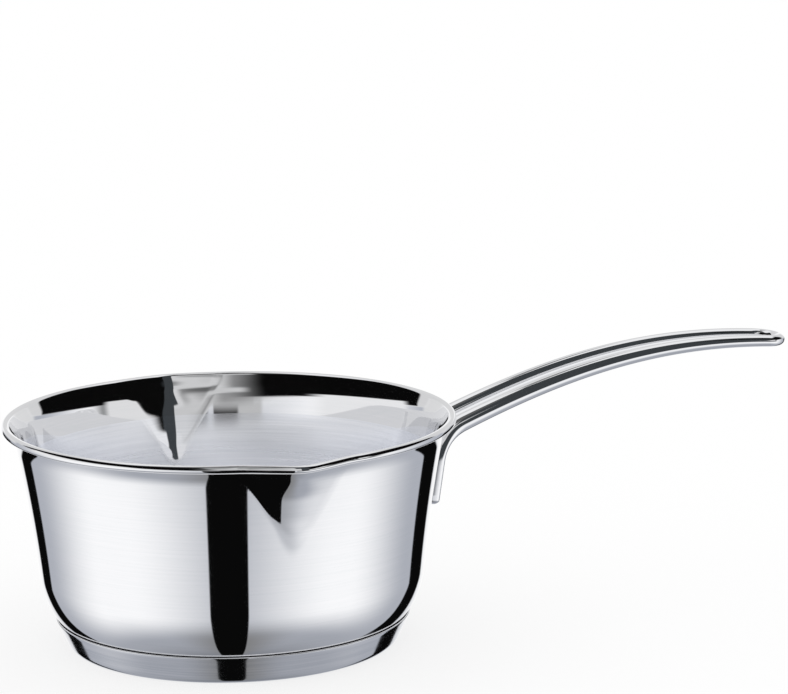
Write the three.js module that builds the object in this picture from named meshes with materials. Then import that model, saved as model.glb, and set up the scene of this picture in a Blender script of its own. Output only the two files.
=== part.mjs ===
// Milk saucepan: a drawn steel pan with two pouring spouts, a capsule base and a bent bar handle.
// Millimetres, +Z up. The origin is the centre of the underside, the handle runs along +X,
// and the spouts face -Y and +Y.
import * as THREE from 'three';

// Pan body
const panHeight = 87;
const rimRadius = 86.5;
const beadRadius = 1.7;
const wallThickness = 0.8;
const lipHeight = 5.1;
const lipReach = 3.75;
const wallTaper = 7.85;
const wallFootHeight = 28;
const wallFootSlope = 0.105;
const cornerReach = 15.2;
const cornerFloorPull = 9.8;
const cornerWallPull = 7.7;

// Pouring spouts, pressed outwards from the wall
const spoutDrop = 31.2;
const spoutHalfWidth = 21.8;
const spoutReach = 4.2;
const spoutChin = 4.5;
const chinNose = 5;
const wallNose = 8.8;
const rimNose = 4.6;
const noseRise = 11.3;
const noseFall = 8.5;
const spoutDip = 0.6;
const foldBlend = 0.5;

// Capsule base and the aluminium disc that it holds against the pan
const capsuleThickness = 0.6;
const capsuleHeight = 11;
const capsuleTaper = 3.5;
const capsuleFootHeight = 2.6;
const capsuleFootReach = 3.1;
const discThickness = 5;
const discEdgeHeight = 8;

// Handle: one bar bent into a hairpin, with flattened feet on the wall
const rodSpacing = 16.4;
const rodRootDiameter = 7.1;
const rodEndDiameter = 4.6;
const handleReach = 147.6;
const handleRise = 13;
const rootPitch = THREE.MathUtils.degToRad(21.4);
const endPitch = THREE.MathUtils.degToRad(-4.7);
const spineEase = 0.36;
const bendDrop = 12.8;
const bendLength = 10;
const footBottomHeight = 46.7;
const footThickness = 5;
const footWidth = 9.5;
const footRound = 2.5;
const footBluntness = 0.45;

// Clearance between pieces that touch
const fitGap = 0.3;

// Mesh counts
const panSegments = 84;
const panCrowding = 0.6;
const baseSegments = 72;
const cornerSteps = 6;
const lowerWallSteps = 2;
const spoutSteps = 7;
const lipSteps = 2;
const beadSteps = 7;
const capsuleFootSteps = 3;
const rodSides = 14;
const footTipSteps = 3;
const footSteps = 2;
const bendSteps = 7;
const spineSteps = 18;
const loopSteps = 12;

// Heights and radii that follow from the sizes above, at the middle of the sheet
const beadHeight = panHeight - beadRadius;
const beadCentreRadius = rimRadius - beadRadius;
const foldHeight = beadHeight - lipHeight;
const foldRadius = beadCentreRadius - lipReach;
const wallFootRadius = foldRadius - wallTaper;
const floorRadius = wallFootRadius - cornerReach;
const floorHeight = capsuleThickness + fitGap + discThickness + fitGap + wallThickness / 2;
const spoutApexHeight = beadHeight - spoutDrop;

// The wall is a shallow bell: its slope grows evenly from the foot to the lip's fold.
const wallRise = foldHeight - wallFootHeight;
const wallSlopeGrowth = (2 * (wallTaper / wallRise - wallFootSlope)) / wallRise;

function wallRadius(height) {
  const rise = height - wallFootHeight;
  return wallFootRadius + wallFootSlope * rise + (wallSlopeGrowth * rise * rise) / 2;
}

// The plain radius is the wall up to the fold and the leaning lip above it.
function plainRadius(height) {
  if (height <= foldHeight) {
    return wallRadius(height);
  }
  return foldRadius + ((height - foldHeight) * lipReach) / lipHeight;
}

// A line moved sideways by a distance, positive to its right, in the plane of radius and height.
function offsetLine(points, distance) {
  return points.map((point, i) => {
    const before = points[Math.max(i - 1, 0)];
    const after = points[Math.min(i + 1, points.length - 1)];
    const along = new THREE.Vector2().subVectors(after, before).normalize();
    return new THREE.Vector2(point.x + along.y * distance, point.y - along.x * distance);
  });
}

// The first stretch of a rising line, ended exactly at a height.
function lineUpTo(points, height) {
  const next = points.findIndex((point) => point.y > height);
  const low = points[next - 1];
  const high = points[next];
  const end = low.clone().lerp(high, (height - low.y) / (high.y - low.y));
  return [...points.slice(0, next), end];
}

// A profile in radius and height, turned about the Z axis.
function turned(profile, segments) {
  return new THREE.LatheGeometry(profile, segments).rotateX(Math.PI / 2);
}

// The middle of the pan's sheet, from the centre of the floor to the neck of the rolled bead.
const lipAngle = Math.atan2(lipHeight, lipReach);
const neckLength = Math.sqrt(beadRadius ** 2 - (wallThickness / 2) ** 2);

function panLine() {
  const floorEdge = new THREE.Vector2(floorRadius, floorHeight);
  const wallFoot = new THREE.Vector2(wallFootRadius, wallFootHeight);
  const wallDirection = new THREE.Vector2(wallFootSlope, 1).normalize();
  const corner = new THREE.CubicBezierCurve(
    floorEdge,
    floorEdge.clone().add(new THREE.Vector2(cornerFloorPull, 0)),
    wallFoot.clone().addScaledVector(wallDirection, -cornerWallPull),
    wallFoot,
  );
  const line = [new THREE.Vector2(0, floorHeight), ...corner.getPoints(cornerSteps)];
  const addWall = (from, to, steps) => {
    for (let i = 1; i <= steps; i += 1) {
      const height = from + ((to - from) * i) / steps;
      line.push(new THREE.Vector2(wallRadius(height), height));
    }
  };
  addWall(wallFootHeight, spoutApexHeight, lowerWallSteps);
  addWall(spoutApexHeight, foldHeight, spoutSteps);
  const neck = new THREE.Vector2(
    beadCentreRadius - neckLength * Math.cos(lipAngle),
    beadHeight - neckLength * Math.sin(lipAngle),
  );
  const fold = line[line.length - 1];
  for (let i = 1; i <= lipSteps; i += 1) {
    line.push(fold.clone().lerp(neck, i / lipSteps));
  }
  return line;
}

// The rolled bead, from the outside of the neck over the top to the inside.
function beadArc() {
  const neckAngle = Math.asin(wallThickness / 2 / beadRadius);
  const start = lipAngle + Math.PI + neckAngle;
  const sweep = 2 * (Math.PI - neckAngle);
  const points = [];
  for (let i = 1; i < beadSteps; i += 1) {
    const angle = start + (sweep * i) / beadSteps;
    points.push(
      new THREE.Vector2(
        beadCentreRadius + beadRadius * Math.cos(angle),
        beadHeight + beadRadius * Math.sin(angle),
      ),
    );
  }
  return points;
}

// A spout is two flat faces that meet in a rounded ridge. Their folds spread from a rounded chin at
// the apex to the full half width at the rim, and the ridge leans out to the spout's tip.
const chinSpread = (Math.hypot(spoutHalfWidth, spoutChin) - spoutChin) / spoutDrop;
const chinStart = spoutApexHeight - spoutChin / chinSpread;
const spoutBow = spoutHalfWidth ** 2 / (2 * beadCentreRadius);
const faceSlope = (spoutReach + spoutBow) / (Math.hypot(spoutHalfWidth, rimNose) - rimNose);

// The ridge is softest on the wall and turns tighter at the chin and under the lip.
function noseRound(height) {
  const { lerp, smoothstep } = THREE.MathUtils;
  const onWall = smoothstep(height, spoutApexHeight, spoutApexHeight + noseRise);
  const atLip = smoothstep(height, foldHeight - noseFall, foldHeight);
  return lerp(chinNose, wallNose, onWall) + (rimNose - wallNose) * atLip;
}

// The larger of two values, rounded where they cross.
function blendedMax(a, b, blend) {
  const nearness = Math.max(blend - Math.abs(a - b), 0) / blend;
  return Math.max(a, b) + (nearness * nearness * blend) / 4;
}

// How far the sheet is pushed out at a distance across from the ridge.
function spoutPush(across, height) {
  if (height <= chinStart) {
    return 0;
  }
  const level = Math.min(height, beadHeight);
  const nose = noseRound(level);
  const square = (chinSpread * (level - chinStart)) ** 2 - spoutChin ** 2;
  const wide = Math.max(square, 0);
  const bow = (wide - Math.min(across ** 2, wide)) / (2 * plainRadius(level));
  const ridge = Math.sqrt(Math.max(nose ** 2 + square, 0));
  return blendedMax(0, faceSlope * (ridge - Math.hypot(across, nose)) - bow, foldBlend);
}

// Crowds the columns of the turned pan towards the spouts and presses both spouts out.
function pressSpouts(geometry) {
  const position = geometry.getAttribute('position');
  for (let i = 0; i < position.count; i += 1) {
    const radius = Math.hypot(position.getX(i), position.getY(i));
    const height = position.getZ(i);
    const evenAngle = Math.atan2(position.getX(i), -position.getY(i));
    const angle = evenAngle - (panCrowding / 2) * Math.sin(2 * evenAngle);
    const across = rimRadius * Math.sin(angle);
    const pushed = radius + spoutPush(across, height);
    const lipShare = THREE.MathUtils.clamp((height - foldHeight) / lipHeight, 0, 1);
    const dip = (spoutDip * lipShare * spoutPush(across, beadHeight)) / spoutReach;
    position.setXYZ(i, pushed * Math.sin(angle), -pushed * Math.cos(angle), height - dip);
  }
  return geometry;
}

const panMiddle = panLine();
const panOutside = offsetLine(panMiddle, wallThickness / 2);
const panInside = offsetLine(panMiddle, -wallThickness / 2);

function makePanBody() {
  const profile = [...panOutside, ...beadArc(), ...panInside.toReversed()];
  return pressSpouts(turned(profile, panSegments));
}

// The inside of the capsule: a flat floor, a rounded foot and a side that leans out to the pan.
function capsuleLine() {
  const seat = lineUpTo(offsetLine(panOutside, fitGap), capsuleHeight);
  const rim = seat[seat.length - 1];
  const foot = new THREE.Vector2(rim.x - capsuleTaper, capsuleThickness + capsuleFootHeight);
  const floorEdge = new THREE.Vector2(foot.x - capsuleFootReach, capsuleThickness);
  const sideSlope = capsuleTaper / (rim.y - foot.y);
  const corner = new THREE.Vector2(foot.x - sideSlope * capsuleFootHeight, capsuleThickness);
  const rounded = new THREE.QuadraticBezierCurve(floorEdge, corner, foot);
  return [new THREE.Vector2(0, capsuleThickness), ...rounded.getPoints(capsuleFootSteps), rim];
}

const capsuleInside = capsuleLine();

function makeCapsule() {
  const outside = offsetLine(capsuleInside, capsuleThickness);
  return turned([...outside, ...capsuleInside.toReversed()], baseSegments);
}

// The aluminium fills the capsule, up to a feather edge below the seam.
function makeDisc() {
  const lower = lineUpTo(offsetLine(capsuleInside, -fitGap), discEdgeHeight);
  const upper = lineUpTo(offsetLine(panOutside, fitGap), discEdgeHeight);
  return turned([...lower, ...upper.toReversed()], baseSegments);
}

// Side view of one rod: foot on the wall, bend, and the long arched spine.
const halfSpacing = rodSpacing / 2;

function footPoint(height) {
  const radius = wallRadius(height) + wallThickness / 2 + fitGap + footThickness / 2;
  return new THREE.Vector2(Math.sqrt(radius ** 2 - halfSpacing ** 2), height);
}

const rodPath = new THREE.Path();
const bendCorner = footPoint(panHeight - bendDrop);
const footEnd = footPoint(footBottomHeight);
const footDirection = bendCorner.clone().sub(footEnd).normalize();
const rootDirection = new THREE.Vector2(Math.cos(rootPitch), Math.sin(rootPitch));
const endDirection = new THREE.Vector2(Math.cos(endPitch), Math.sin(endPitch));
const bendStart = bendCorner.clone().addScaledVector(footDirection, -bendLength);
const bendEnd = bendCorner.clone().addScaledVector(rootDirection, bendLength);
const spineEnd = new THREE.Vector2(
  rimRadius + handleReach - rodEndDiameter / 2 - halfSpacing * endDirection.x,
  panHeight + handleRise,
);
const spinePull = spineEase * spineEnd.distanceTo(bendEnd);
const spineNear = bendEnd.clone().addScaledVector(rootDirection, spinePull);
const spineFar = spineEnd.clone().addScaledVector(endDirection, -spinePull);
rodPath.moveTo(footEnd.x, footEnd.y);
rodPath.lineTo(bendStart.x, bendStart.y);
rodPath.quadraticCurveTo(bendCorner.x, bendCorner.y, bendEnd.x, bendEnd.y);
rodPath.bezierCurveTo(spineNear.x, spineNear.y, spineFar.x, spineFar.y, spineEnd.x, spineEnd.y);

const [footLength, bendEndLength, rodLength] = rodPath.getCurveLengths();
const loopLength = Math.PI * halfSpacing;

// Distances along the bar where its section is set, from one foot round the loop to the other.
function barStations() {
  const rod = [0];
  const addSteps = (to, steps) => {
    const from = rod[rod.length - 1];
    for (let i = 1; i <= steps; i += 1) {
      rod.push(from + ((to - from) * i) / steps);
    }
  };
  addSteps(footRound, footTipSteps);
  addSteps(footLength, footSteps);
  addSteps(bendEndLength, bendSteps);
  addSteps(rodLength, spineSteps);
  const mirrored = rod.toReversed().map((distance) => 2 * rodLength + loopLength - distance);
  addSteps(rodLength + loopLength, loopSteps);
  return [...rod, ...mirrored.slice(1)];
}

// Place, direction and upper side of the bar at a distance along it.
function barFrame(distance) {
  const onReturn = distance > rodLength + loopLength;
  const rodDistance = onReturn ? 2 * rodLength + loopLength - distance : distance;
  const share = Math.min(rodDistance / rodLength, 1);
  const point = rodPath.getPoint(share);
  const slope = share < 1 ? rodPath.getTangent(share) : endDirection;
  const turn = THREE.MathUtils.clamp((distance - rodLength) / halfSpacing, 0, Math.PI);
  const beyond = halfSpacing * Math.sin(turn);
  const heading = Math.cos(turn);
  return {
    place: new THREE.Vector3(
      point.x + slope.x * beyond,
      -halfSpacing * Math.cos(turn),
      point.y + slope.y * beyond,
    ),
    along: new THREE.Vector3(slope.x * heading, Math.sin(turn), slope.y * heading),
    up: new THREE.Vector3(-slope.y, 0, slope.x),
    rodDistance: Math.min(rodDistance, rodLength),
  };
}

// Width and thickness of the bar: flat feet, then round with an even taper towards the loop.
function barSection(rodDistance) {
  const taper = THREE.MathUtils.clamp((rodDistance - bendEndLength) / (rodLength - bendEndLength), 0, 1);
  const diameter = THREE.MathUtils.lerp(rodRootDiameter, rodEndDiameter, taper);
  const flatness = 1 - THREE.MathUtils.smoothstep(rodDistance, footLength, bendEndLength);
  const fromRound = Math.max(1 - rodDistance / footRound, 0);
  const tip = footBluntness + (1 - footBluntness) * Math.sqrt(1 - fromRound ** 2);
  return {
    width: tip * THREE.MathUtils.lerp(diameter, footWidth, flatness),
    thickness: tip * THREE.MathUtils.lerp(diameter, footThickness, flatness),
    turn: flatness * Math.asin(halfSpacing / footEnd.length()),
  };
}

function makeHandle() {
  const stations = barStations();
  const rings = stations.length - 1;
  const geometry = new THREE.CylinderGeometry(1, 1, 1, rodSides, rings);
  const position = geometry.getAttribute('position');
  const corner = new THREE.Vector3();
  for (let i = 0; i < position.count; i += 1) {
    const ring = Math.round((position.getY(i) + 0.5) * rings);
    const { place, along, up, rodDistance } = barFrame(stations[ring]);
    const { width, thickness, turn } = barSection(rodDistance);
    const side = new THREE.Vector3().crossVectors(along, up);
    side.applyAxisAngle(along, -turn);
    const over = up.clone().applyAxisAngle(along, -turn);
    corner.copy(place);
    corner.addScaledVector(side, (position.getX(i) * width) / 2);
    corner.addScaledVector(over, (position.getZ(i) * thickness) / 2);
    position.setXYZ(i, corner.x, corner.y, corner.z);
  }
  return geometry;
}

// Finishes
const polishedSteel = { color: 0xdcdde0, roughness: 0.06, metalness: 1 };
const satinAluminium = { color: 0xb9bcc0, roughness: 0.45, metalness: 1 };

const saucepan = new THREE.Group();

function addPart(name, geometry, finish) {
  geometry.computeVertexNormals();
  const mesh = new THREE.Mesh(geometry, new THREE.MeshStandardMaterial(finish));
  mesh.name = name;
  saucepan.add(mesh);
}

addPart('pan_body', makePanBody(), polishedSteel);
addPart('base_capsule', makeCapsule(), polishedSteel);
addPart('heat_spreader_disc', makeDisc(), satinAluminium);
addPart('handle_bar', makeHandle(), polishedSteel);

export default saucepan;
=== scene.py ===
# %% [markdown]
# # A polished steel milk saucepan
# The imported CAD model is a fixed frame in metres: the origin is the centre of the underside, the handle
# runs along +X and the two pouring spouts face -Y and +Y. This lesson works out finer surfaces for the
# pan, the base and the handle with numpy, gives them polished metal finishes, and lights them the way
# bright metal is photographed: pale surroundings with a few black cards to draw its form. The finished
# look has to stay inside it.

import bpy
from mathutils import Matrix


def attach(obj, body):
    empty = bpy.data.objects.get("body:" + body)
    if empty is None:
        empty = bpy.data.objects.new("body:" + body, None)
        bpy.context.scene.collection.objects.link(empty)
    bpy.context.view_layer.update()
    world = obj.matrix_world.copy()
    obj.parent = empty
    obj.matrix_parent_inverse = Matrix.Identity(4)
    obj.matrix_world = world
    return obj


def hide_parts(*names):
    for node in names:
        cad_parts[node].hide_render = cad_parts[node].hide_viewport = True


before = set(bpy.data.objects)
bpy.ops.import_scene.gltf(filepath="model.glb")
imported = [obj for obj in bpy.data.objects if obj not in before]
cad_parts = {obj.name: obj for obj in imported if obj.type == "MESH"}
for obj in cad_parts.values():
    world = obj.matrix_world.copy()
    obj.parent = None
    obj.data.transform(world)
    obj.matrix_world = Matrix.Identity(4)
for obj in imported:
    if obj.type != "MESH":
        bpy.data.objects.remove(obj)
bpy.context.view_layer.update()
print("CAD nodes:", sorted(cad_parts))

# %% [markdown]
# ## Tools
# A colour is picked on a screen as a hex code, along a curve that suits the eye. Light adds up along a
# straight line, so Blender's sockets want the linear value, and one function undoes the curve. Materials
# and the sky are made of nodes, which could be clicked together by hand. Here one small function adds a
# node, sets its options and fills its sockets, so that a finish reads as a short list.

# %% Colours and nodes
import math

import bpy
import numpy as np
from mathutils import Matrix

MM = 0.001


def linear(hex_colour):
    """sRGB hex text to linear RGBA: each channel is undone with the sRGB curve."""
    srgb = np.array([int(hex_colour[i:i + 2], 16) for i in (1, 3, 5)]) / 255
    rgb = np.where(srgb <= 0.04045, srgb / 12.92, ((srgb + 0.055) / 1.055) ** 2.4)
    return (*rgb.tolist(), 1.0)


def add_node(tree, kind, inputs=None, **settings):
    """Adds one node: settings are its options, and inputs gives each socket a constant or a link."""
    made = tree.nodes.new(kind)
    for option, value in settings.items():
        setattr(made, option, value)
    for socket, value in (inputs or {}).items():
        if isinstance(value, bpy.types.NodeSocket):
            tree.links.new(value, made.inputs[socket])
        else:
            made.inputs[socket].default_value = value
    return made


print("half grey #808080 is %.3f in linear light" % linear("#808080")[0])

# %% [markdown]
# ## Camera
# The photograph looks down on the pan by about fourteen degrees through a long lens. A camera could be
# set by eye in the viewport. Here distance, lens and angles were solved from the ellipses of the rim, the
# seam and the base, so it stands where the real one stood. Pan, tilt and roll turn it about its own axes
# after it has been put in place.

# %% Place the camera
VIEW_AZIMUTH = math.radians(-17.0)
VIEW_ELEVATION = math.radians(14.0416)
VIEW_DISTANCE = 1.21194
AIM_HEIGHT = 45 * MM
PAN, TILT, ROLL = (math.radians(angle) for angle in (-3.0171, 3.1026, 1.4317))
IMAGE_WIDTH = 788
FOCAL_PIXELS = 3156.59

camera_data = bpy.data.cameras.new("photo_camera")
camera_data.sensor_fit = "HORIZONTAL"
camera_data.lens = FOCAL_PIXELS / IMAGE_WIDTH * camera_data.sensor_width
camera = bpy.data.objects.new("photo_camera", camera_data)
bpy.context.scene.collection.objects.link(camera)
towards_camera = np.array([
    math.sin(VIEW_AZIMUTH) * math.cos(VIEW_ELEVATION),
    -math.cos(VIEW_AZIMUTH) * math.cos(VIEW_ELEVATION),
    math.sin(VIEW_ELEVATION),
])
camera_place = towards_camera * VIEW_DISTANCE + np.array([0, 0, AIM_HEIGHT])
aim = Matrix.Rotation(VIEW_AZIMUTH, 3, "Z") @ Matrix.Rotation(math.pi / 2 - VIEW_ELEVATION, 3, "X")
turn = Matrix.Rotation(PAN, 3, "Y") @ Matrix.Rotation(TILT, 3, "X") @ Matrix.Rotation(-ROLL, 3, "Z")
camera.matrix_world = Matrix.Translation(camera_place.tolist()) @ (aim @ turn).to_4x4()
bpy.context.scene.camera = camera
bpy.context.scene.view_settings.view_transform = "Standard"
print("lens %.1f mm, camera at %s" % (camera_data.lens, np.round(camera_place, 3)))

# %% [markdown]
# ## From arrays to a mesh
# Every new piece here is a grid of points: rows run along a profile or a path, and columns go round it.
# Joining each point to its neighbours gives quads, and a single point at each end closes the skin without
# a hole. A Screw modifier could turn a profile as well, but an array can be pressed and flattened by a
# formula on the way. Each point also stores how far along the profile it lies, so that a finish can
# follow the metal.

# %% Grid to mesh
CM3 = 1e-6


def store_per_point(mesh, name, values):
    """Keeps one number for each point of the mesh, as a named attribute."""
    attribute = mesh.attributes.new(name, "FLOAT", "POINT")
    attribute.data.foreach_set("value", np.asarray(values, dtype=np.float32))


def enclosed_volume(mesh, points):
    """Sum of a . (b x c) / 6 over the triangles. It is positive if their faces point outwards."""
    mesh.calc_loop_triangles()
    corners = np.empty(len(mesh.loop_triangles) * 3, dtype=np.int32)
    mesh.loop_triangles.foreach_get("vertices", corners)
    first, second, third = points[corners.reshape(-1, 3)].transpose(1, 0, 2)
    return np.einsum("ij,ij->i", first, np.cross(second, third)).sum() / 6


def skin(name, rings, first_pole, last_pole, along):
    """A closed skin: rings is (rows, columns, 3) in mm, whose columns close on themselves. A fan of
    triangles joins each end ring to its pole. along is each row's distance in mm."""
    rows, columns = rings.shape[:2]
    points = np.concatenate([rings.reshape(-1, 3), [first_pole, last_pole]]) * MM
    near = np.arange(columns)
    far = np.roll(near, -1)
    row = np.arange(rows - 1)[:, None] * columns
    quads = np.stack([row + near, row + far, row + columns + far, row + columns + near], -1)
    first_tip, last_tip = rows * columns, rows * columns + 1
    last_row = (rows - 1) * columns
    first_fan = np.stack([np.full(columns, first_tip), far, near], -1)
    last_fan = np.stack([np.full(columns, last_tip), last_row + near, last_row + far], -1)
    faces = quads.reshape(-1, 4).tolist() + first_fan.tolist() + last_fan.tolist()
    mesh = bpy.data.meshes.new(name)
    mesh.from_pydata(points.tolist(), [], faces)
    store_per_point(mesh, "along_mm", np.append(np.repeat(along, columns), [along[0], along[-1]]))
    mesh.polygons.foreach_set("use_smooth", np.ones(len(mesh.polygons), dtype=bool))
    mesh.update()
    mesh.validate()
    made = bpy.data.objects.new(name, mesh)
    bpy.context.scene.collection.objects.link(made)
    volume = enclosed_volume(mesh, points)
    print("%s: %d triangles, %.1f cm3" % (name, len(mesh.loop_triangles), volume / CM3))
    return made


# %% [markdown]
# ## Lines for the profiles
# Pressed and turned metal is mostly a matter of lines: the middle of the sheet, the same line moved by
# its thickness, and rounded bends between straight runs. They could be drawn by hand with the curve
# tools. As formulas they keep to the sizes, and four short functions are enough.

# %% Moved lines, bends and lengths
def moved_line(line, distance):
    """A line of (radius, height) points moved to its right by distance, square to its direction."""
    direction = np.gradient(line, axis=0)
    direction /= np.linalg.norm(direction, axis=1, keepdims=True)
    return line + distance * np.stack([direction[:, 1], -direction[:, 0]], -1)


def bezier(points, steps):
    """Points on a Bezier curve: binomial weights times its control points."""
    share = np.linspace(0, 1, steps + 1)[:, None]
    degree = len(points) - 1
    weights = [math.comb(degree, k) * share ** k * (1 - share) ** (degree - k) for k in range(degree + 1)]
    return sum(weight * np.asarray(point, float) for weight, point in zip(weights, points))


def path_length(line):
    """Distance along a line of points, from its start."""
    return np.concatenate([[0], np.cumsum(np.linalg.norm(np.diff(line, axis=0), axis=1))])


def smooth_step(value, start, end):
    """0 before start, 1 after end and an even S between them."""
    share = np.clip((value - start) / (end - start), 0, 1)
    return share * share * (3 - 2 * share)


sample_bend = bezier([(0, 0), (10, 0), (10, 10)], 16)
print("a bend between two sides of 10 mm is %.2f mm long" % path_length(sample_bend)[-1])

# %% [markdown]
# ## The pan: wall, lip and rolled rim
# The real bowl is one disc of steel, drawn deep, its edge flared into a lip and curled outwards so that
# no sharp edge is left. A subdivided cylinder could be pulled into shape, but a profile turned about the
# axis is how the drawing of such a pan is made, and it keeps to the CAD's sizes.

# %% Sizes of the pan, in mm, as in the CAD
PAN_HEIGHT, RIM_RADIUS, BEAD_RADIUS, SHEET = 87.0, 86.5, 1.7, 0.8
LIP_HEIGHT, LIP_REACH = 5.1, 3.75
WALL_TAPER, WALL_FOOT_HEIGHT, WALL_FOOT_SLOPE = 7.85, 28.0, 0.105
CORNER_REACH, CORNER_FLOOR_PULL, CORNER_WALL_PULL = 15.2, 9.8, 7.7
FLOOR_HEIGHT = 6.6
BEAD_HEIGHT = PAN_HEIGHT - BEAD_RADIUS
BEAD_CENTRE = RIM_RADIUS - BEAD_RADIUS
FOLD_HEIGHT = BEAD_HEIGHT - LIP_HEIGHT
FOLD_RADIUS = BEAD_CENTRE - LIP_REACH
WALL_FOOT_RADIUS = FOLD_RADIUS - WALL_TAPER
FLOOR_RADIUS = WALL_FOOT_RADIUS - CORNER_REACH
WALL_RISE = FOLD_HEIGHT - WALL_FOOT_HEIGHT
SLOPE_GROWTH = 2 * (WALL_TAPER / WALL_RISE - WALL_FOOT_SLOPE) / WALL_RISE


def wall_radius(height):
    """The wall is a shallow bell: its slope grows evenly with height, so its radius is a parabola."""
    rise = height - WALL_FOOT_HEIGHT
    return WALL_FOOT_RADIUS + WALL_FOOT_SLOPE * rise + SLOPE_GROWTH * rise ** 2 / 2


def plain_radius(height):
    """The wall below the fold, and above it the straight lip that leans out to the bead's centre."""
    lip = FOLD_RADIUS + (height - FOLD_HEIGHT) * LIP_REACH / LIP_HEIGHT
    return np.where(height <= FOLD_HEIGHT, wall_radius(height), lip)


print("wall %.1f mm across at the fold, floor %.1f mm" % (2 * FOLD_RADIUS, 2 * FLOOR_RADIUS))

# %% [markdown]
# ## The middle of the sheet
# Sheet keeps nearly one thickness all over, so only its middle line is drawn, from the centre of the floor
# out and up to the lip, and both faces follow from it. The fold under the lip is rounded, as steel never
# folds sharp. The lip runs straight into the curl: its line touches the circle of the curl's middle. Rows
# of points are closer together where the spouts will be pressed.

# %% Middle line of the pan
HEM_OFFSET = BEAD_RADIUS - SHEET / 2
FOLD_ROUND = 2.2
# The lip stops this far short of the curl, which takes over there.
LIP_SHORTENING = 0.4
# The first ring of points round the middle of the floor, and the height from which rows lie closer.
FLOOR_START = 6.0
SPOUT_ZONE = 47.0
FLOOR_STEPS, CORNER_STEPS, LOWER_STEPS = 7, 18, 6
SPOUT_STEPS, FOLD_STEPS, LIP_STEPS = 34, 8, 3

fold = np.array([FOLD_RADIUS, FOLD_HEIGHT])
bead = np.array([BEAD_CENTRE, BEAD_HEIGHT])
lip_length = np.linalg.norm(bead - fold)
lip_swing = math.asin(HEM_OFFSET / lip_length)
lip_angle = math.atan2(*(bead - fold)[::-1]) + lip_swing
lip_along = np.array([math.cos(lip_angle), math.sin(lip_angle)])
lip_out = np.array([math.sin(lip_angle), -math.cos(lip_angle)])


def pan_middle_line():
    """The middle of the sheet: flat floor, a cubic corner, the bell wall, a rounded fold, the lip."""
    slope = np.array([WALL_FOOT_SLOPE, 1]) / math.hypot(WALL_FOOT_SLOPE, 1)
    floor_edge = np.array([FLOOR_RADIUS, FLOOR_HEIGHT])
    wall_foot = np.array([WALL_FOOT_RADIUS, WALL_FOOT_HEIGHT])
    floor_radii = np.linspace(FLOOR_START, FLOOR_RADIUS, FLOOR_STEPS + 1)[:-1]
    floor_line = np.stack([floor_radii, np.full(FLOOR_STEPS, FLOOR_HEIGHT)], -1)
    corner = bezier([floor_edge, floor_edge + [CORNER_FLOOR_PULL, 0],
                     wall_foot - CORNER_WALL_PULL * slope, wall_foot], CORNER_STEPS)
    low = np.linspace(WALL_FOOT_HEIGHT, SPOUT_ZONE, LOWER_STEPS + 1)[1:]
    high = np.linspace(SPOUT_ZONE, FOLD_HEIGHT - FOLD_ROUND, SPOUT_STEPS + 1)[1:]
    heights = np.concatenate([low, high])
    wall = np.stack([wall_radius(heights), heights], -1)
    rounded = bezier([wall[-1], fold, fold + FOLD_ROUND * lip_along], FOLD_STEPS)[1:]
    lip_end = lip_length * math.cos(lip_swing) - LIP_SHORTENING
    reach = np.linspace(FOLD_ROUND, lip_end, LIP_STEPS + 1)[1:, None]
    return np.concatenate([floor_line, corner, wall, rounded, fold + reach * lip_along])


middle_line = pan_middle_line()
print("the sheet's middle: %d points, %.1f mm long" % (len(middle_line), path_length(middle_line)[-1]))

# %% [markdown]
# ## The curl of the rim
# On the real rim the sheet is rolled right round, with its cut edge tucked in under the lip. A torus laid
# on the edge would look alike from afar but would leave a step. Here the profile itself runs into the
# curl, round its hollow, over the cut edge and back, so that lip and curl are one surface. Rolling leaves
# the outside slightly square, and a superellipse gives it the two flats that catch separate lines of light.

# %% Profile of the pan
HEM_GAP = 0.2
# The superellipse's power, its half width across the flats, and how far it is turned.
BEAD_SHAPE, BEAD_FLAT, BEAD_TURN = 2.6, 1.52, math.radians(18)
# Angle, in radians, by which the middle of the cut edge stands out past its corners.
CUT_EDGE_BULGE = 0.06
HOLLOW_STEPS, CURL_STEPS = 14, 44


def beside_bead(along, out):
    """A point near the bead's centre, along the lip and square to it."""
    return bead + np.asarray(along)[..., None] * lip_along + np.asarray(out)[..., None] * lip_out


def bead_arc(radius, start, end, steps):
    """An arc about the bead's centre. Angle 0 points along the lip and 90 degrees outwards."""
    angle = np.linspace(start, end, steps + 1)
    return beside_bead(radius * np.cos(angle), radius * np.sin(angle))


def flattened_arc(start, end, steps):
    """The curl's outside, rolled slightly square: a superellipse turned so that its flats face up and
    out, which eases into a circle where it meets the lip."""
    angle = np.linspace(start, end, steps + 1)
    flat = lip_angle - angle - BEAD_TURN
    power = np.abs(np.cos(flat)) ** BEAD_SHAPE + np.abs(np.sin(flat)) ** BEAD_SHAPE
    share = smooth_step(angle, -math.pi / 2, -math.pi / 6)
    radius = BEAD_RADIUS + share * (BEAD_FLAT * power ** (-1 / BEAD_SHAPE) - BEAD_RADIUS)
    return beside_bead(radius * np.cos(angle), radius * np.sin(angle))


def pan_profile():
    """Outside of the sheet, up into the curl, round its hollow, over its cut edge, back round its
    outside and down the inside of the sheet, which runs into the curl without a step."""
    outside = moved_line(middle_line, SHEET / 2)
    inside = moved_line(middle_line, -SHEET / 2)
    hollow = BEAD_RADIUS - SHEET
    end = math.pi + math.asin((hollow - HEM_GAP) / BEAD_RADIUS)
    hollow_arc = bead_arc(hollow, -math.pi / 2, end, HOLLOW_STEPS)
    cut_edge = bead_arc(HEM_OFFSET, end + CUT_EDGE_BULGE, end + CUT_EDGE_BULGE, 0)
    outer_arc = flattened_arc(end, -math.pi / 2, CURL_STEPS)
    return np.concatenate([outside, hollow_arc, cut_edge, outer_arc, inside[::-1]])


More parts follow.
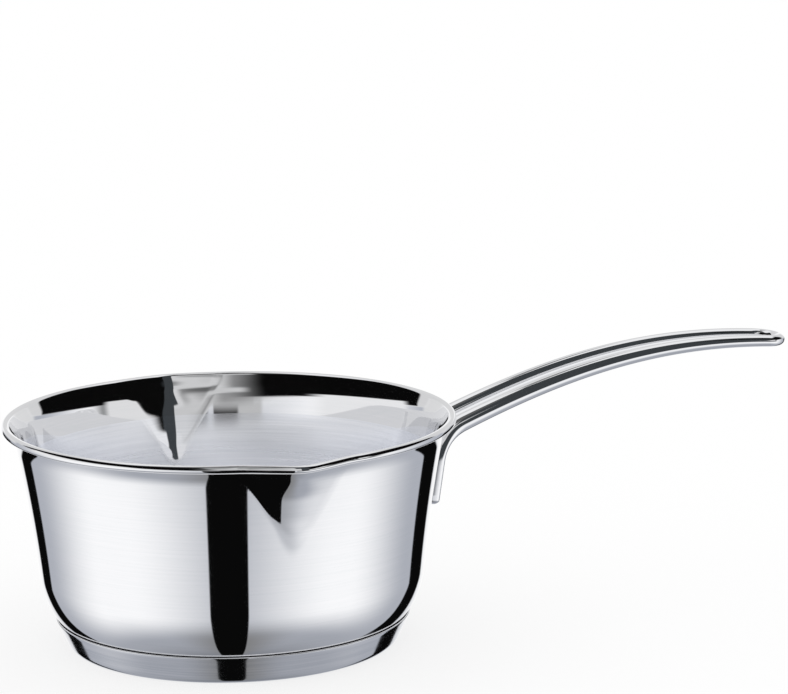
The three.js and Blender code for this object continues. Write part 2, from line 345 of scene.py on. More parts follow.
profile = pan_profile()
print("pan profile: %d points, top %.2f mm, reach %.2f mm" % (len(profile), *profile.max(0)[::-1]))

# %% [markdown]
# ## The two pouring spouts
# On the real pan a die presses the wall outwards into a shallow beak: two flat faces that meet in a
# rounded ridge, fade into a small chin below, and run smoothly into the lip. Sculpting could do it, but
# a formula keeps both spouts alike. The radius is the larger of the plain wall and the beak's faces,
# rounded where they cross, and every point of the turned profile is pushed out by the difference.

# %% Shape of the spout, in mm
SPOUT_DROP, SPOUT_HALF_WIDTH, SPOUT_REACH = 31.2, 21.8, 4.2
SPOUT_CHIN, CHIN_NOSE, WALL_NOSE, RIM_NOSE = 4.5, 5.0, 8.8, 4.6
NOSE_RISE, NOSE_FALL = 11.3, 8.5
CHIN_BLEND, FOLD_BLEND, BLEND_RISE = 1.0, 0.4, 8.0
# Nothing is pressed further to the side than this.
SPOUT_LIMIT = 45.0

apex_height = BEAD_HEIGHT - SPOUT_DROP
chin_spread = (math.hypot(SPOUT_HALF_WIDTH, SPOUT_CHIN) - SPOUT_CHIN) / SPOUT_DROP
chin_start = apex_height - SPOUT_CHIN / chin_spread
spout_bow = SPOUT_HALF_WIDTH ** 2 / (2 * BEAD_CENTRE)
face_slope = (SPOUT_REACH + spout_bow) / (math.hypot(SPOUT_HALF_WIDTH, RIM_NOSE) - RIM_NOSE)


def spout_push(across, height):
    """How far the sheet is pressed out. In plan each face is a straight line that turns over the ridge
    in a hyperbola, and its fold spreads from a rounded chin to the full half width at the rim."""
    level = np.minimum(height, BEAD_HEIGHT)
    square = (chin_spread * (level - chin_start)) ** 2 - SPOUT_CHIN ** 2
    on_wall = smooth_step(level, apex_height, apex_height + NOSE_RISE)
    at_lip = smooth_step(level, FOLD_HEIGHT - NOSE_FALL, FOLD_HEIGHT)
    nose = CHIN_NOSE + (WALL_NOSE - CHIN_NOSE) * on_wall + (RIM_NOSE - WALL_NOSE) * at_lip
    wide = np.maximum(square, 0)
    bow = (wide - np.minimum(across ** 2, wide)) / (2 * plain_radius(level))
    ridge = np.sqrt(np.maximum(nose ** 2 + square, 0))
    face = face_slope * (ridge - np.hypot(across, nose)) - bow
    above_chin = smooth_step(level, apex_height, apex_height + BLEND_RISE)
    blend = CHIN_BLEND + (FOLD_BLEND - CHIN_BLEND) * above_chin
    nearness = np.maximum(blend - np.abs(face), 0) / blend
    push = np.maximum(face, 0) + nearness ** 2 * blend / 4
    return np.where((level > chin_start) & (np.abs(across) < SPOUT_LIMIT), push, 0)


print("spout starts %.1f mm up and reaches %.1f mm out" % (chin_start, spout_push(0, BEAD_HEIGHT)))

# %% [markdown]
# ## Pressing the pan
# The profile is carried round the axis, with its columns crowded towards the spouts, where the shape
# changes quickest. Each point is moved out by the formula above, and the rim dips a little at each spout,
# as it does where a die has drawn the metal outwards.

# %% Make the pan
SPOUT_DIP = 0.6
PAN_COLUMNS, PAN_CROWDING = 456, 0.6


def pressed_pan():
    """The turned profile, its columns crowded towards the spouts, with both spouts pressed out."""
    even = np.linspace(0, 2 * math.pi, PAN_COLUMNS, endpoint=False)
    angles = even - PAN_CROWDING / 2 * np.sin(2 * even)
    across = RIM_RADIUS * np.sin(angles)
    radius, height = profile[:, :1], profile[:, 1:]
    lip_share = np.clip((height - FOLD_HEIGHT) / LIP_HEIGHT, 0, 1)
    pushed = radius + spout_push(across, height)
    dip = SPOUT_DIP * lip_share * spout_push(across, BEAD_HEIGHT) / SPOUT_REACH
    return np.stack([pushed * np.sin(angles), -pushed * np.cos(angles), height - dip], -1)


pressed = pressed_pan()
pan = skin("drawn_pan", pressed, (0, 0, profile[0, 1]), (0, 0, profile[-1, 1]), path_length(profile))
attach(pan, "root")
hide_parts("pan_body")

# %% [markdown]
# ## Where the brush reaches
# The inside is brushed by a wheel that turns about the pan's axis. It works hardest low in the bowl, ever
# less towards the lip, and it can't follow the spouts' recesses, which stay bright. A painted mask would
# do, but both limits are known here as numbers. So each point stores a share: 0 where the brush bites
# fully, 1 where it never came. The inside's finish reads it further down.

# %% Share of each point that the brush has missed
BRUSH_FULL, SATIN_TOP, BRUSH_FADE = 52.0, 71.0, 0.66
# How far the sheet is pressed out, in mm, where the recess begins and where the brush is clear of it.
RECESS_START, RECESS_FULL = 0.05, 0.2

pressed_out = np.hypot(pressed[..., 0], pressed[..., 1]) - profile[:, :1]
in_recess = smooth_step(pressed_out, RECESS_START, RECESS_FULL)
near_lip = BRUSH_FADE * smooth_step(profile[:, 1:], BRUSH_FULL, SATIN_TOP)
unbrushed = np.maximum(in_recess, near_lip)
store_per_point(pan.data, "unbrushed", np.append(unbrushed.ravel(), [0, 0]))
print("the spouts press %d points out of the brush's reach" % (in_recess == 1).sum())

# %% [markdown]
# ## The capsule base
# A steel cup holds the aluminium plate against the pan. Its edge makes the seam low on the wall, and its
# underside is turned flat on a lathe. A bevelled cylinder could stand in for it, but its upper edge has to
# lie against the pan. So it is a second turned profile, which reaches up to the pan's own curve at a
# hair's distance, with a rounded upper edge that catches the light beside the dark seam.

# %% Profile of the capsule, in mm
CAPSULE_SHEET, CAPSULE_HEIGHT, CAPSULE_TAPER = 0.6, 11.0, 3.9
CAPSULE_FOOT_HEIGHT, CAPSULE_FOOT_REACH, FIT_GAP = 2.2, 2.6, 0.3
CAPSULE_EDGE_INSET = 0.1
UNDERSIDE_START = 4.0
UNDERSIDE_STEPS, ROUND_STEPS, SIDE_STEPS, EDGE_STEPS = 19, 14, 8, 8
# Rows of the pan's middle line just past the floor's edge, where each is higher than the last.
RISING_ROWS = slice(8, 30)


def capsule_profile():
    """Outside of the cup: flat underside, rounded foot and a side that leans out evenly to the seam.
    Moved in by the sheet's thickness it gives the inside, and half a circle joins the two."""
    seat = moved_line(moved_line(middle_line, SHEET / 2), FIT_GAP)[RISING_ROWS]
    rim_radius = np.interp(CAPSULE_HEIGHT, seat[:, 1], seat[:, 0]) + CAPSULE_SHEET
    rim = np.array([rim_radius - CAPSULE_EDGE_INSET, CAPSULE_HEIGHT - CAPSULE_SHEET / 2])
    foot = np.array([rim_radius - CAPSULE_TAPER, CAPSULE_FOOT_HEIGHT])
    floor_edge = np.array([foot[0] - CAPSULE_FOOT_REACH, 0])
    side_way = (rim - foot) / np.linalg.norm(rim - foot)
    corner = foot - side_way * foot[1] / side_way[1]
    underside_radii = np.linspace(UNDERSIDE_START, floor_edge[0], UNDERSIDE_STEPS + 1)[:-1]
    underside = np.stack([underside_radii, np.zeros(UNDERSIDE_STEPS)], -1)
    rounded = bezier([floor_edge, corner, foot], ROUND_STEPS)
    side = foot + np.linspace(0, 1, SIDE_STEPS + 1)[1:, None] * (rim - foot)
    outside = np.concatenate([underside, rounded, side])
    inside = moved_line(outside, -CAPSULE_SHEET)
    middle = (inside[-1] + outside[-1]) / 2
    across = outside[-1] - middle
    upward = np.array([-across[1], across[0]])
    swing = np.linspace(0, math.pi, EDGE_STEPS + 1)[1:-1, None]
    edge = middle + across * np.cos(swing) + upward * np.sin(swing)
    return np.concatenate([outside, edge, inside[::-1]])


cup = capsule_profile()
print("capsule %.1f mm across, %.1f mm high" % (2 * cup[:, 0].max(), cup[:, 1].max()))

# %% [markdown]
# ## Turning the capsule
# The cup is round all over, so its profile is simply carried about the axis. A few hundred columns are
# enough for its edge to look round in a close view.

# %% Make the capsule
CAPSULE_COLUMNS = 288


def turned(line, angles):
    """A profile of (radius, height) turned about Z: one ring of points for each profile point."""
    radius, height = line[:, :1], line[:, 1:]
    return np.stack([radius * np.sin(angles), -radius * np.cos(angles), height + 0 * angles], -1)


even_turn = np.linspace(0, 2 * math.pi, CAPSULE_COLUMNS, endpoint=False)
capsule = skin("base_cup", turned(cup, even_turn), (0, 0, cup[0, 1]), (0, 0, cup[-1, 1]),
               path_length(cup))
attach(capsule, "root")
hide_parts("base_capsule")

# %% [markdown]
# ## The hairpin handle
# One round bar is bent into a hairpin. Its closed end hangs on a hook, and its two ends turn down along
# the wall, are pressed flat and welded on. A curve with a bevel could make it, but the section changes
# on the way, so a ring of points is carried along the path and its width and thickness follow the bar.
# First comes the side view of one rod, from the tip of its foot to the start of the loop.

# %% Path of one rod, in mm
ROD_SPACING, ROD_ROOT, ROD_END = 16.4, 7.1, 4.6
HANDLE_REACH, HANDLE_RISE = 147.55, 12.97
ROOT_PITCH, END_PITCH, SPINE_EASE = math.radians(21.4), math.radians(-4.7), 0.36
BEND_DROP, BEND_LENGTH, FOOT_BOTTOM = 12.8, 10.0, 46.7
FOOT_THICKNESS, FOOT_WIDTH, FOOT_ROUND = 5.0, 9.5, 2.5
HALF_SPACING = ROD_SPACING / 2
# The first ring of the foot's rounded tip, as an angle in radians from its very end.
TIP_START = 0.12
TIP_STEPS, STRAIGHT_STEPS, BEND_STEPS, SPINE_STEPS = 8, 8, 26, 72


def foot_point(height):
    """Middle of the foot at a height, in the rod's own plane: it follows the wall."""
    radius = wall_radius(height) + SHEET / 2 + FIT_GAP + FOOT_THICKNESS / 2
    return np.array([math.sqrt(radius ** 2 - HALF_SPACING ** 2), height])


root_way = np.array([math.cos(ROOT_PITCH), math.sin(ROOT_PITCH)])
end_way = np.array([math.cos(END_PITCH), math.sin(END_PITCH)])
foot_end = foot_point(FOOT_BOTTOM)
bend_corner = foot_point(PAN_HEIGHT - BEND_DROP)
foot_way = (bend_corner - foot_end) / np.linalg.norm(bend_corner - foot_end)
bend_start = bend_corner - BEND_LENGTH * foot_way
bend_end = bend_corner + BEND_LENGTH * root_way
foot_length = np.linalg.norm(bend_start - foot_end)
spine_end = np.array([RIM_RADIUS + HANDLE_REACH - ROD_END / 2 - HALF_SPACING * end_way[0],
                      PAN_HEIGHT + HANDLE_RISE])
spine_pull = SPINE_EASE * np.linalg.norm(spine_end - bend_end)


def rod_path():
    """Side view of one rod: rounded tip, straight foot, quadratic bend and cubic spine."""
    tip = FOOT_ROUND * (1 - np.cos(np.linspace(TIP_START, math.pi / 2, TIP_STEPS + 1)))
    straight = np.linspace(FOOT_ROUND, foot_length, STRAIGHT_STEPS + 1)[1:]
    foot = foot_end + np.concatenate([tip, straight])[:, None] * foot_way
    bend = bezier([bend_start, bend_corner, bend_end], BEND_STEPS)[1:]
    spine = bezier([bend_end, bend_end + spine_pull * root_way,
                    spine_end - spine_pull * end_way, spine_end], SPINE_STEPS)[1:]
    return np.concatenate([foot, bend, spine])


rod = rod_path()
rod_length = path_length(rod) + np.linalg.norm(rod[0] - foot_end)
round_from = rod_length[np.argmin(np.linalg.norm(rod - bend_end, axis=1))]
print("one rod is %.1f mm long" % rod_length[-1])

# %% [markdown]
# ## The bar's whole course
# The real bar runs out along one side, round the loop and back along the other. Two rods and half a ring
# could be joined, but seams would show in polished metal. So one path goes all the way, and at each
# place on it three directions are known: along the bar, up out of the handle, and sideways.

# %% Course of the bar
LOOP_STEPS = 48


def bar_course():
    """The rod, a half circle of half the spacing in the plane of the rod's end, and the rod again in
    reverse. Gives the places, the directions along and up, and each place's distance along its rod."""
    slope = np.gradient(rod, axis=0)
    slope /= np.linalg.norm(slope, axis=1, keepdims=True)
    slope[-1] = end_way
    loop = np.linspace(0, math.pi, LOOP_STEPS + 1)[1:-1]
    straight = np.zeros(len(rod))
    side_turn = np.concatenate([straight, loop, straight + math.pi])
    rods = np.concatenate([rod, np.repeat(rod[-1:], len(loop), 0), rod[::-1]])
    slopes = np.concatenate([slope, np.repeat(slope[-1:], len(loop), 0), slope[::-1]])
    lengths = np.concatenate([rod_length, np.full(len(loop), rod_length[-1]), rod_length[::-1]])
    beyond = HALF_SPACING * np.sin(side_turn)
    place = np.stack([rods[:, 0] + slopes[:, 0] * beyond, -HALF_SPACING * np.cos(side_turn),
                      rods[:, 1] + slopes[:, 1] * beyond], -1)
    heading = np.cos(side_turn)
    along = np.stack([slopes[:, 0] * heading, np.sin(side_turn), slopes[:, 1] * heading], -1)
    up = np.stack([-slopes[:, 1], 0 * heading, slopes[:, 0]], -1)
    return place, along, up, lengths


bar_place, bar_along, bar_up, rod_lengths = bar_course()
bar_length = path_length(bar_place)
print("handle bar %.0f mm long" % bar_length[-1])

# %% [markdown]
# ## The bar's section
# The round bar thins evenly towards the loop. At the feet it is pressed flat with square shoulders and
# leans with the round wall. A superellipse covers both: its power is 2 for the round bar and larger for
# the flat foot. The foot's inner face grows nearly to the wall, where the real one is welded on.

# %% Make the handle
BAR_SIDES = 48
FLAT_SHAPE = 3.4
# How much of the gap to the wall the foot's inner face takes up.
SEAT_SHARE = 0.9


def bar_rings():
    """Rings of a superellipse along the course. The section is flat and square shouldered at the feet,
    round from the bend on, and tapers evenly to the loop. The tips of the feet close in a quarter
    circle."""
    flat = 1 - smooth_step(rod_lengths, foot_length, round_from)
    taper = np.clip((rod_lengths - round_from) / (rod_length[-1] - round_from), 0, 1)
    diameter = ROD_ROOT + (ROD_END - ROD_ROOT) * taper
    tip = np.sqrt(1 - np.clip(1 - rod_lengths / FOOT_ROUND, 0, 1) ** 2)
    width = tip * (diameter + (FOOT_WIDTH - diameter) * flat) / 2
    thick = tip * (diameter + (FOOT_THICKNESS - diameter) * flat) / 2
    lean = -flat * math.asin(HALF_SPACING / np.linalg.norm(foot_end))
    cos, sin = np.cos(lean)[:, None], np.sin(lean)[:, None]
    bar_side = np.cross(bar_along, bar_up)
    side = bar_side * cos + np.cross(bar_along, bar_side) * sin
    up = bar_up * cos + np.cross(bar_along, bar_up) * sin
    around = np.linspace(0, 2 * math.pi, BAR_SIDES, endpoint=False)
    power = (2 / (2 + (FLAT_SHAPE - 2) * flat))[:, None]
    across = np.sign(np.cos(around)) * np.abs(np.cos(around)) ** power * width[:, None]
    over = np.sign(np.sin(around)) * np.abs(np.sin(around)) ** power
    seat = np.where(over < 0, FIT_GAP * SEAT_SHARE, 0) * flat[:, None] * tip[:, None]
    over = over * (thick[:, None] + seat)
    return bar_place[:, None] + across[..., None] * side[:, None] + over[..., None] * up[:, None]


rings = bar_rings()
handle = skin("hairpin_handle", rings[:, ::-1], rings[0].mean(0), rings[-1].mean(0), bar_length)
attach(handle, "root")
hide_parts("handle_bar")

# %% [markdown]
# ## Finishes
# Stainless steel has no colour of its own to speak of: it shows its surroundings, a little darker. What
# sets one finish apart from another is how smooth it is, and which way the marks of its making run. A
# photograph of brushed steel could be wrapped round the pan, but noise drawn out along the tool's way
# fits every shape and scale. One function makes every metal here. Real marks are about 0.05 mm apart,
# too fine to show at this distance, so they are drawn at roughly one per mm, and faintly.

# %% Metal from marks and clouds
# Noise keeps near its middle, so these narrow spans of it are stretched over the whole range.
MARKS_FROM, MARKS_TO = 0.3, 0.7
GLOSS_FROM, GLOSS_TO = 0.12, 0.4
# Share of its roughness that the metal keeps where the tool never came.
UNBRUSHED_SHARE = 0.12
QUARTER_TURN = 0.25


def mark_way(tree, place, marks):
    """Where a point lies among the marks. For rings it is the direction from the pan's axis, with the
    attribute along_mm as height, so marks change quickly along the profile and slowly round it.
    Otherwise marks is a squeeze for each axis, and a small one draws them out along that axis."""
    if marks != "rings":
        return add_node(tree, "ShaderNodeMapping", {"Vector": place, "Scale": marks}).outputs[0]
    flat = add_node(tree, "ShaderNodeVectorMath", {0: place, 1: (1, 1, 0)}, operation="MULTIPLY")
    round_axis = add_node(tree, "ShaderNodeVectorMath", {0: flat.outputs[0]}, operation="NORMALIZE")
    along = add_node(tree, "ShaderNodeAttribute", attribute_name="along_mm").outputs["Fac"]
    apart = add_node(tree, "ShaderNodeCombineXYZ", {"Z": along}).outputs[0]
    return add_node(tree, "ShaderNodeVectorMath", {0: round_axis.outputs[0], 1: apart}).outputs[0]


def drag_highlights(tree, shader, drag):
    """Stretches highlights across marks that run in rings about Z."""
    tangent = add_node(tree, "ShaderNodeTangent", direction_type="RADIAL", axis="Z")
    tree.links.new(tangent.outputs[0], shader.inputs["Tangent"])
    shader.inputs["Anisotropic"].default_value = drag
    shader.inputs["Anisotropic Rotation"].default_value = QUARTER_TURN


def metal(name, bright, shade, smooth, rough, marks, fineness, depth, cloud_size, drag=0.0, spared=None):
    """Marks vary colour, roughness and bump: fineness is how many there are per mm and depth is their
    height in mm. Clouds of cloud_size mm vary the gloss between smooth and rough. drag stretches the
    highlights. spared names an attribute with the share, 0 to 1, that the tool has left bright."""
    material = bpy.data.materials.new(name)
    material.use_nodes = True
    tree = material.node_tree
    shader = tree.nodes["Principled BSDF"]
    shader.inputs["Metallic"].default_value = 1.0
    place = add_node(tree, "ShaderNodeTexCoord").outputs["Object"]
    # The rings' way is already in mm, and Object coordinates are in metres.
    scale = fineness if marks == "rings" else fineness / MM
    lines = add_node(tree, "ShaderNodeTexNoise", {
        "Vector": mark_way(tree, place, marks), "Scale": scale, "Detail": 3.0, "Roughness": 0.6})
    cloud = add_node(tree, "ShaderNodeTexNoise", {
        "Vector": place, "Scale": 1 / (cloud_size * MM), "Detail": 2.0})
    clear = add_node(tree, "ShaderNodeMapRange", {
        "Value": lines.outputs["Fac"], "From Min": MARKS_FROM, "From Max": MARKS_TO}).outputs["Result"]
    tone = add_node(tree, "ShaderNodeMix", {
        0: clear, 6: linear(bright), 7: linear(shade)}, data_type="RGBA")
    both = add_node(tree, "ShaderNodeMath", {
        0: lines.outputs["Fac"], 1: cloud.outputs["Fac"]}, operation="MULTIPLY")
    roughness = add_node(tree, "ShaderNodeMapRange", {
        "Value": both.outputs[0], "From Min": GLOSS_FROM, "From Max": GLOSS_TO,
        "To Min": smooth, "To Max": rough}).outputs["Result"]
    if spared:
        missed = add_node(tree, "ShaderNodeAttribute", attribute_name=spared).outputs["Fac"]
        bite = add_node(tree, "ShaderNodeMapRange", {
            "Value": missed, "From Min": 0.0, "From Max": 1.0, "To Min": 1.0, "To Max": UNBRUSHED_SHARE})
        roughness = add_node(tree, "ShaderNodeMath", {
            0: roughness, 1: bite.outputs["Result"]}, operation="MULTIPLY").outputs[0]
    bump = add_node(tree, "ShaderNodeBump", {
        "Height": lines.outputs["Fac"], "Strength": 1.0, "Distance": depth * MM})
    tree.links.new(tone.outputs[2], shader.inputs["Base Color"])
    tree.links.new(roughness, shader.inputs["Roughness"])
    tree.links.new(bump.outputs["Normal"], shader.inputs["Normal"])
    if drag:
        drag_highlights(tree, shader, drag)
    print("%s: roughness %.3f to %.3f" % (name, smooth, rough))
    return material


# %% [markdown]
# ## Five metals
# The pan is buffed to a mirror outside and over the lip, and brushed to a satin inside, where spoons would
# soon scratch a mirror. The capsule comes from the lathe, the bar is buffed along its length, and the
# plate in the base is aluminium as the rolling mill leaves it. They could share one material, but the eye
# tells them apart by how sharply each mirrors the studio.

# %% Make the metals
STEEL, STEEL_SHADE = "#e6e6e8", "#e2e3e5"

# Buffed on a wheel: sharp reflections, barely softened by hair-fine rings.
mirror = metal("mirror-buffed stainless steel", STEEL, STEEL_SHADE, smooth=0.02, rough=0.05,
               marks="rings", fineness=1.6, depth=0.0001, cloud_size=45)
# Brushed in rings: a soft, even grey sheen that smears highlights across the rings.
satin = metal("ring-brushed satin stainless steel", "#eff0f4", "#e6e8ed", smooth=0.27, rough=0.34,
              marks="rings", fineness=1.2, depth=0.001, cloud_size=30, drag=0.3, spared="unbrushed")
# Turned on a lathe: the same steel, whose fine grooves take the edge off its reflections.
cup_steel = metal("lathe-turned stainless steel", STEEL, "#d3d5d9", smooth=0.05, rough=0.11,
                  marks="rings", fineness=1.1, depth=0.0004, cloud_size=30)
# Bar buffed along its length: long, clean streaks of light and dark.
bar_steel = metal("mirror-buffed stainless bar", STEEL, STEEL_SHADE, smooth=0.03, rough=0.06,
                  marks=(0.04, 0.7, 0.7), fineness=1, depth=0.0001, cloud_size=25)
# Rolled at the mill: dull and whitish, with lines along the rolling direction.
plate = metal("mill-rolled aluminium", "#c9ccd0", "#b4b8bd", smooth=0.32, rough=0.5,
              marks=(0.03, 0.9, 0.03), fineness=1, depth=0.01, cloud_size=15)

# %% [markdown]
# ## Each piece gets its metal
# The bowl is one skin with two finishes, so its faces are sorted by row: those inside and below the lip
# take the satin, the rest the mirror. Two separate skins would need a seam. The plate is the CAD node
# itself, which only changes its material.

# %% Give each piece its finish
pan.data.materials.append(mirror)
pan.data.materials.append(satin)
inner_row = np.arange(len(profile)) > np.argmax(profile[:, 0])
satin_row = inner_row & (profile[:, 1] < SATIN_TOP)
satin_face = np.repeat(satin_row[1:] & satin_row[:-1], PAN_COLUMNS)
underside_fan, inside_fan = np.zeros(PAN_COLUMNS), np.ones(PAN_COLUMNS)
finish = np.concatenate([satin_face, underside_fan, inside_fan]).astype(np.int32)
pan.data.polygons.foreach_set("material_index", finish)
capsule.data.materials.append(cup_steel)
handle.data.materials.append(bar_steel)
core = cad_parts["heat_spreader_disc"]
core.data.materials.clear()
core.data.materials.append(plate)
print("satin on %d of %d faces of the pan" % (finish.sum(), len(finish)))

# %% [markdown]
# ## Studio
# Bright metal is photographed by choosing what it mirrors. This pan stands in a grey surround with two
# soft lamps low at the sides, a light wall behind, a black gap in front for the lens, and black cards at
# the back and higher up that draw the dark lines of its form. Building these cards as objects would work,
# but they would be in the way of other views. Here the sky itself is the studio: each card is a
# soft-edged patch of directions. First the sky needs angles: how far round from the camera's side, and
# how far up.

# %% Directions of the studio
# Added to the forward share of a direction, so that the lens's gap stays open low down.
GAP_SPREAD = 0.35

world = bpy.data.worlds.new("studio")
bpy.context.scene.world = world
world.use_nodes = True
sky = world.node_tree
outward = add_node(sky, "ShaderNodeTexCoord").outputs["Generated"]
facing = add_node(sky, "ShaderNodeVectorRotate", {
    "Vector": outward, "Axis": (0, 0, 1), "Angle": -VIEW_AZIMUTH}, rotation_type="AXIS_ANGLE")
ways = add_node(sky, "ShaderNodeSeparateXYZ", {0: facing.outputs[0]}).outputs
to_front = add_node(sky, "ShaderNodeMath", {0: ways["Y"], 1: -1.0}, operation="MULTIPLY").outputs[0]
round_angle = add_node(sky, "ShaderNodeMath", {0: ways["X"], 1: to_front}, operation="ARCTAN2")
round_by = add_node(sky, "ShaderNodeMath", {0: round_angle.outputs[0]}, operation="DEGREES").outputs[0]
up_angle = add_node(sky, "ShaderNodeMath", {0: ways["Z"]}, operation="ARCSINE")
up_by = add_node(sky, "ShaderNodeMath", {0: up_angle.outputs[0]}, operation="DEGREES").outputs[0]
from_front = add_node(sky, "ShaderNodeMath", {0: round_by}, operation="ABSOLUTE").outputs[0]
spread = add_node(sky, "ShaderNodeMath", {0: to_front, 1: GAP_SPREAD}, operation="ADD").outputs[0]
gap = add_node(sky, "ShaderNodeMath", {0: ways["X"], 1: spread}, operation="DIVIDE").outputs[0]
print("0 degrees round is the side at %.0f degrees from -Y" % math.degrees(VIEW_AZIMUTH))

# %% [markdown]
# ## Ground and lamps
# The wall of the pan leans out, so it mirrors what lies low around it. A real studio has a grey floor
# there that darkens towards the pan's foot, and a soft lamp low on each side, which gives the wall its two
# broad, bright fields. Area lights could do this, but a patch of sky fades as softly as it needs to. Every
# card is hung over what is already there, so the order counts.

# %% Hang the ground and the lamps
LAMP = 1.2
GREY_TINT = np.array([0.95, 0.99, 1.09])
# Share of the way from straight down to the horizon, and how light the ground is there.
GROUND_TONES = ((0.0, 0.24), (0.11, 0.30), (0.22, 0.39), (0.33, 0.457), (0.44, 0.49), (0.56, 0.52),
                (1.0, 0.55))


def hang_card(behind, colour, *edges):
    """A card over what is behind it. Each edge is (coordinate, value outside it, value inside it), and
    the product of their smooth steps is how much the card covers."""
    cover = None
    for coordinate, outside, inside in edges:
        step = add_node(sky, "ShaderNodeMapRange", {
            "Value": coordinate, "From Min": outside, "From Max": inside},
            interpolation_type="SMOOTHSTEP").outputs["Result"]
        cover = step if cover is None else add_node(
            sky, "ShaderNodeMath", {0: cover, 1: step}, operation="MULTIPLY").outputs[0]
    shade = (*np.broadcast_to(colour, 3).tolist(), 1.0)
    return add_node(sky, "ShaderNodeMix", {0: cover, 6: behind, 7: shade}, data_type="RGBA").outputs[2]


ground = add_node(sky, "ShaderNodeMapRange", {
    "Value": up_by, "From Min": -90.0, "From Max": 0.0}).outputs["Result"]
ramp = add_node(sky, "ShaderNodeValToRGB", {0: ground})
for spot, _ in GROUND_TONES[1:-1]:
    ramp.color_ramp.elements.new(spot)
for element, (spot, tone) in zip(ramp.color_ramp.elements, GROUND_TONES):
    element.position = spot
    element.color = (*(tone * GREY_TINT).tolist(), 1)
view = ramp.outputs["Color"]
# The floor is darker towards the camera, between the lamps.
view = hang_card(view, 0.27, (from_front, 55, 5), (up_by, -30, -60))
# The lamp on the right, and the one on the left.
view = hang_card(view, LAMP, (round_by, -17, 65), (round_by, 128, 74), (up_by, -54, -26))
view = hang_card(view, LAMP, (round_by, -137, -85), (round_by, 17, -65), (up_by, -55, -28.5))
print("ground of %d tones, 2 lamps of %.1f" % (len(GROUND_TONES), LAMP))

# %% [markdown]
# ## What stands around the pan
# Behind a real pan hangs a light wall, which gives its rounded sides a bright last line. Next to that line
# is a dark one, from a black card at each side behind the pan. The broad black stripe on the front is the
# gap between the screens that is left for the lens. Its edges are shares of sideways to forward, not
# angles, so that the stripe runs straight down the wall.

# %% Hang the back wall and the black cards
BLACK = 0.0035
around_cards = (
    # The light wall behind, and its brighter foot.
    (0.85, (from_front, 130, 135), (up_by, -4, 2)),
    (1.05, (from_front, 150, 160), (up_by, -38, -14)),
    # The gap for the lens.
    (BLACK, (gap, -0.186, -0.174), (gap, 0.122, 0.110), (to_front, -0.1, 0.1)),
    # A black card at the left behind the pan, and one at the right.
    (BLACK, (round_by, -158, -155), (round_by, -139, -141), (up_by, -52, -40), (up_by, 0, -6)),
    (BLACK, (round_by, 133, 135), (round_by, 157, 154), (up_by, -52, -40), (up_by, 0, -6)),
)
for colour, *edges in around_cards:
    view = hang_card(view, colour, *edges)
print("%d cards around the pan" % len(around_cards))

# %% [markdown]
# ## The ceiling
# The lip, the inside and the bars of the handle look up. They mirror a white ceiling, which is a little
# grey behind the pan and dark over the camera, where the lens and its stand are. A dark card at the right
# gives the bars their long dark lines.

# %% Hang the ceiling
ceiling_cards = (
    # White from just above the horizon, with a light patch just under its edge near the camera.
    (1.05, (up_by, 8, 10)),
    (0.62, (round_by, -20, -17), (round_by, -4, -6), (up_by, 3, 5), (up_by, 9.8, 8.8)),
    # Greyer behind the pan, and darker still high up behind it.
    (0.8, (from_front, 122, 125), (up_by, 8, 10), (up_by, 52, 44)),
    (0.3, (from_front, 158, 170), (up_by, 54, 64)),
    # Dark over the camera.
    (0.12, (from_front, 80, 50), (to_front, -0.24, -0.08), (up_by, 40, 50)),
    # The dark card at the right.
    ((0.052, 0.058, 0.063), (round_by, 11, 14), (round_by, 86, 70), (up_by, -14, -8),
     (to_front, -0.16, -0.04)),
)
for colour, *edges in ceiling_cards:
    view = hang_card(view, colour, *edges)
print("%d cards for the ceiling" % len(ceiling_cards))

# %% [markdown]
# ## What the lip and the back spout mirror
# The flared lip is nearly all black in the photograph, with a white line under it: two black cards stand
# high at the sides, above two white strips. The back spout has two faces. One looks at the black, the
# other at a grey card over the camera that is lit unevenly, and so it shades from light to dark.

# %% Hang the cards for the lip and the spout
LIP_BLACK = 0.003
lip_cards = (
    # The black card at the left, which ends near the camera, and the one at the right.
    (LIP_BLACK, (round_by, -127.5, -125), (round_by, 14, 11), (up_by, 9, 10.2), (up_by, 56, 46)),
    (LIP_BLACK, (round_by, 50, 54), (round_by, 125.5, 123), (up_by, 8, 10), (up_by, 52, 42)),
    # The white strips under them.
    (1.0, (round_by, -42, -58), (round_by, -119, -111), (up_by, 15.2, 13.8), (up_by, 0, 4)),
    (0.9, (round_by, 46, 50), (round_by, 76, 70), (up_by, 15.5, 13.5), (up_by, 0, 4)),
    # The grey card over the camera, and five lighter fields on it.
    (0.36, (round_by, -22, 4), (round_by, 14, 11), (up_by, 8.7, 9.7), (up_by, 43, 40)),
    (0.8, (round_by, 2, 14), (round_by, 26, 23), (up_by, 8.7, 9.7), (up_by, 18, 15)),
    (0.8, (round_by, -4, 8), (round_by, 26, 23), (up_by, 14, 17), (up_by, 34, 31)),
    (0.8, (round_by, -4, 8), (round_by, 15, 12), (up_by, 30, 33), (up_by, 44, 41)),
    (0.7, (round_by, -14, -5), (round_by, 26, 23), (up_by, 14, 20), (up_by, 32, 24)),
    (0.75, (round_by, -19, -12), (round_by, 14, 11), (up_by, 37, 43), (up_by, 54, 48)),
)
for colour, *edges in lip_cards:
    view = hang_card(view, colour, *edges)
print("%d cards for the lip and the spout" % len(lip_cards))

# %% [markdown]
# ## Who sees the studio
# The camera and the floor see a plain white sky, as the photograph is cut out on white. Only rays that
# the metal has mirrored once see the cards. A ray that has been mirrored twice, between wall and wall or
# between the two bars, sees white again: there the real pan mirrors more of its own bright metal, and the
# cards' sharp edges would only make a tangle.

# %% Show the cards to mirrored rays
# Glossy Depth counts mirrorings, and this lies between the first and the second.
BETWEEN_BOUNCES = 1.5

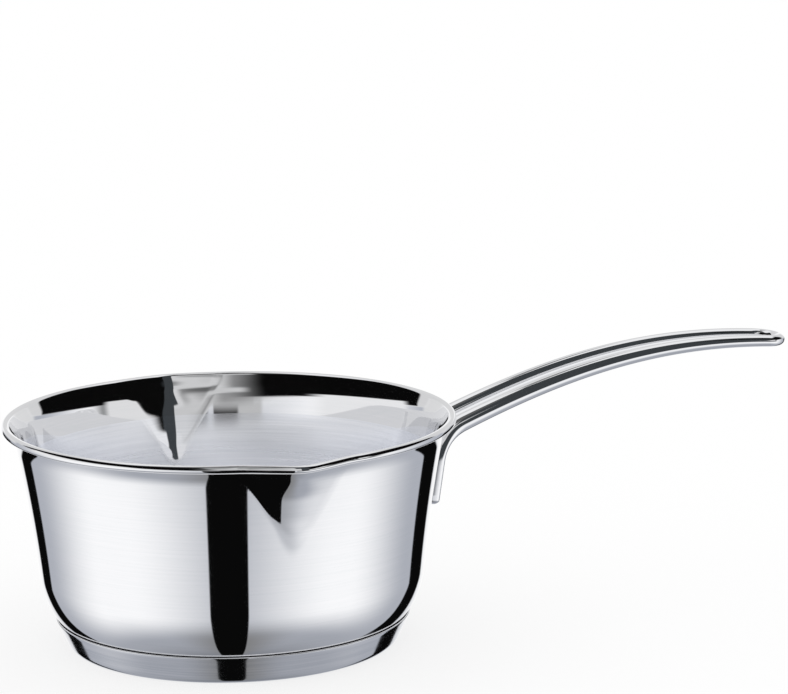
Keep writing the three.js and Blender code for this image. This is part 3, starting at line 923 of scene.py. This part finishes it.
studio = add_node(sky, "ShaderNodeBackground", {"Color": view, "Strength": 1.0})
plain = sky.nodes["Background"]
plain.inputs["Color"].default_value = linear("#ffffff")
plain.inputs["Strength"].default_value = 1.0
ray = add_node(sky, "ShaderNodeLightPath").outputs
first_bounce = add_node(sky, "ShaderNodeMath", {
    0: ray["Glossy Depth"], 1: BETWEEN_BOUNCES}, operation="LESS_THAN")
mirrored_once = add_node(sky, "ShaderNodeMath", {
    0: ray["Is Glossy Ray"], 1: first_bounce.outputs[0]}, operation="MULTIPLY")
seen = add_node(sky, "ShaderNodeMixShader", {
    0: mirrored_once.outputs[0], 1: plain.outputs[0], 2: studio.outputs[0]})
sky.links.new(seen.outputs[0], sky.nodes["World Output"].inputs["Surface"])
print("studio of %d nodes" % len(sky.nodes))

# %% [markdown]
# ## Floor
# A seamless white sweep carries the pan. It could be a curved sheet, but under a white sky a large flat
# one looks the same. Three quarters of its white is a glow of its own, so that it stays white to the
# horizon. The rest comes from the sky, so that the pan still leaves a soft shadow round its base. Seen
# from below it is clear, so that the underside can be looked at. The metal doesn't mirror it, because
# the studio's ground is already drawn in the sky.

# %% White floor
FLOOR_SIZE, FLOOR_DROP, FLOOR_GLOW = 24.0, 0.2 * MM, 0.75

half = FLOOR_SIZE / 2
floor_mesh = bpy.data.meshes.new("studio_floor")
floor_mesh.from_pydata([(-half, -half, -FLOOR_DROP), (half, -half, -FLOOR_DROP),
                        (half, half, -FLOOR_DROP), (-half, half, -FLOOR_DROP)], [], [(0, 1, 2, 3)])
floor = bpy.data.objects.new("studio_floor", floor_mesh)
bpy.context.scene.collection.objects.link(floor)
floor.visible_glossy = False
paper = bpy.data.materials.new("white studio paper")
paper.use_nodes = True
tree = paper.node_tree
tree.nodes.remove(tree.nodes["Principled BSDF"])
lit = add_node(tree, "ShaderNodeBsdfDiffuse", {"Color": linear("#ffffff")})
glow = add_node(tree, "ShaderNodeEmission", {"Color": linear("#ffffff"), "Strength": 1.0})
white = add_node(tree, "ShaderNodeMixShader", {0: FLOOR_GLOW, 1: lit.outputs[0], 2: glow.outputs[0]})
clear = add_node(tree, "ShaderNodeBsdfTransparent")
below = add_node(tree, "ShaderNodeNewGeometry").outputs["Backfacing"]
from_above = add_node(tree, "ShaderNodeMixShader", {0: below, 1: white.outputs[0], 2: clear.outputs[0]})
tree.links.new(from_above.outputs[0], tree.nodes["Material Output"].inputs["Surface"])
floor.data.materials.append(paper)
print("floor %.0f m wide, %.1f mm below the pan" % (FLOOR_SIZE, FLOOR_DROP / MM))
